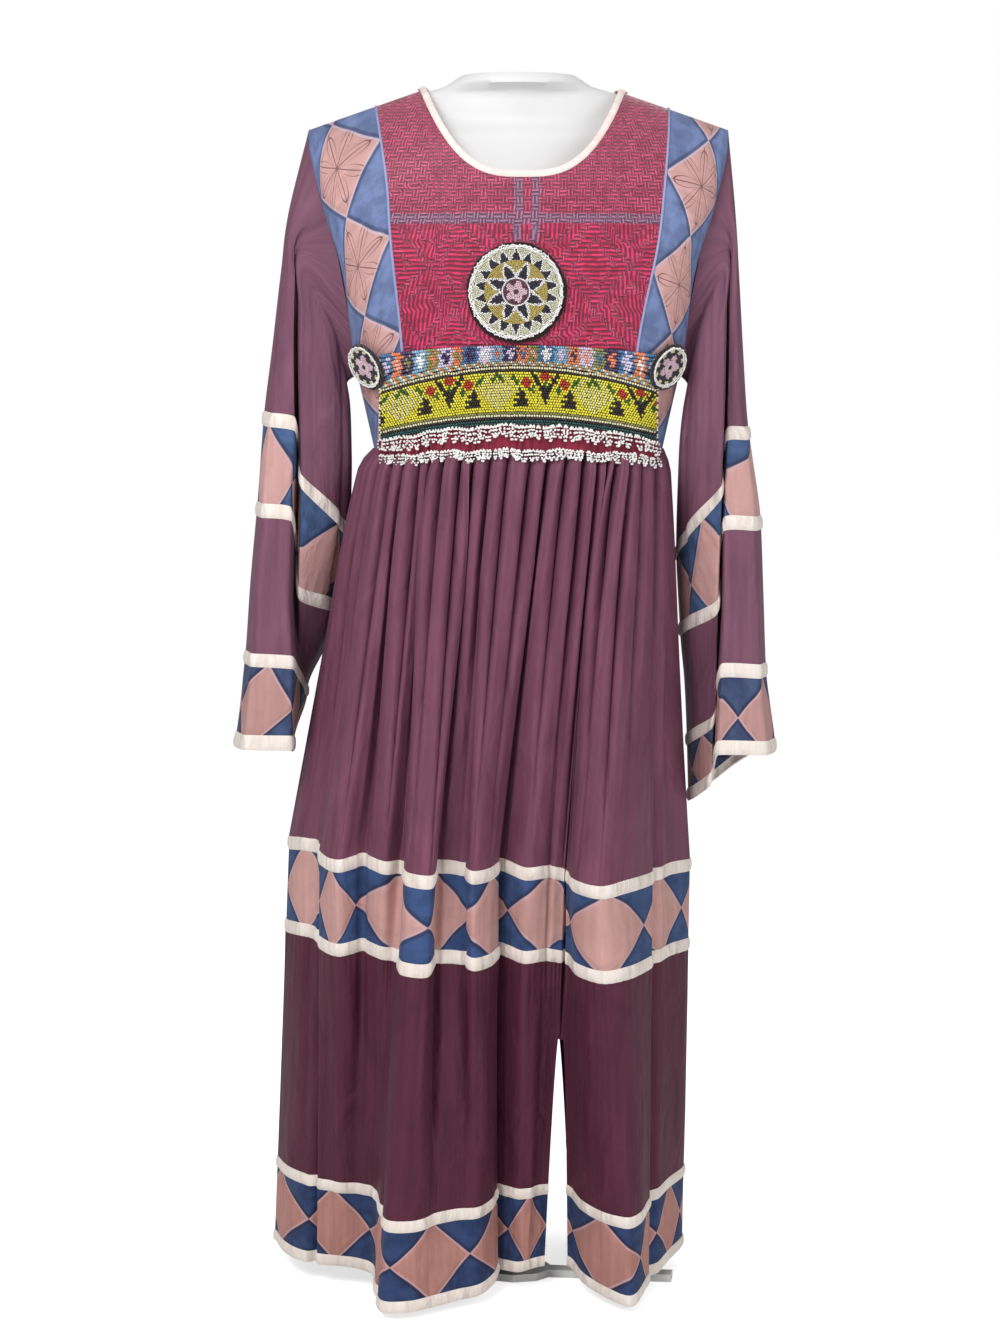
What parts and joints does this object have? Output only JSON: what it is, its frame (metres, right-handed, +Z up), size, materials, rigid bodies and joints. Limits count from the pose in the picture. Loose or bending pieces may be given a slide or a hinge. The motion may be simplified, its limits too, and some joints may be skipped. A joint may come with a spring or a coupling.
{
  "type": "kuchi dress on a dress form",
  "caption": "Long gathered dress with wide sleeves, an embroidered yoke, a beaded belt and patchwork bands, standing on a plain white dress form with a pole and foot.",
  "frame": {"origin": "on the floor under the middle of the stand's foot", "axes": "+Z up, the dress faces -Y, +X is the viewer's right seen from the front"},
  "size_m": [0.5728, 0.3396, 1.262],
  "materials": {
    "plum": "soft satin-like plum cloth",
    "trim": "pale woven ribbon",
    "patch": "patchwork of dusty pink and blue",
    "yoke": "dense crimson satin-stitch embroidery",
    "binding": "pale bias binding",
    "strip": "blue and orange cross-stitch strip",
    "beads": "yellow glass-look seed beads",
    "white_beads": "white seed beads",
    "maroon": "maroon frill",
    "form": "matt white",
    "metal": "white painted steel"
  },
  "bodies": {
    "root": {"yoke_front": "yoke", "side_panel_left": "patch", "side_panel_right": "patch", "back_panel": "plum", "neck_binding": "binding", "belt_strip": "strip", "belt_band": "beads", "belt_ruffle_upper": "white_beads", "belt_frill": "maroon", "belt_ruffle_lower": "white_beads", "medallion_centre": "white_beads", "medallion_left": "white_beads", "medallion_right": "white_beads", "skirt_upper": "plum", "middle_trim_upper": "trim", "middle_band": "patch", "middle_trim_lower": "trim", "skirt_lower": "plum", "hem_trim_upper_left": "trim", "hem_band_left": "patch", "hem_trim_lower_left": "trim", "hem_trim_upper_right": "trim", "hem_band_right": "patch", "hem_trim_lower_right": "trim", "sleeve_left_upper": "plum", "sleeve_left_trim_1": "trim", "sleeve_left_elbow_band": "patch", "sleeve_left_trim_2": "trim", "sleeve_left_lower": "plum", "sleeve_left_trim_3": "trim", "sleeve_left_cuff_band": "patch", "sleeve_left_trim_4": "trim", "sleeve_right_upper": "plum", "sleeve_right_trim_1": "trim", "sleeve_right_elbow_band": "patch", "sleeve_right_trim_2": "trim", "sleeve_right_lower": "plum", "sleeve_right_trim_3": "trim", "sleeve_right_cuff_band": "patch", "sleeve_right_trim_4": "trim", "dress_form": "form", "stand_pole": "metal", "stand_foot": "metal"}
  },
  "joints": []
}
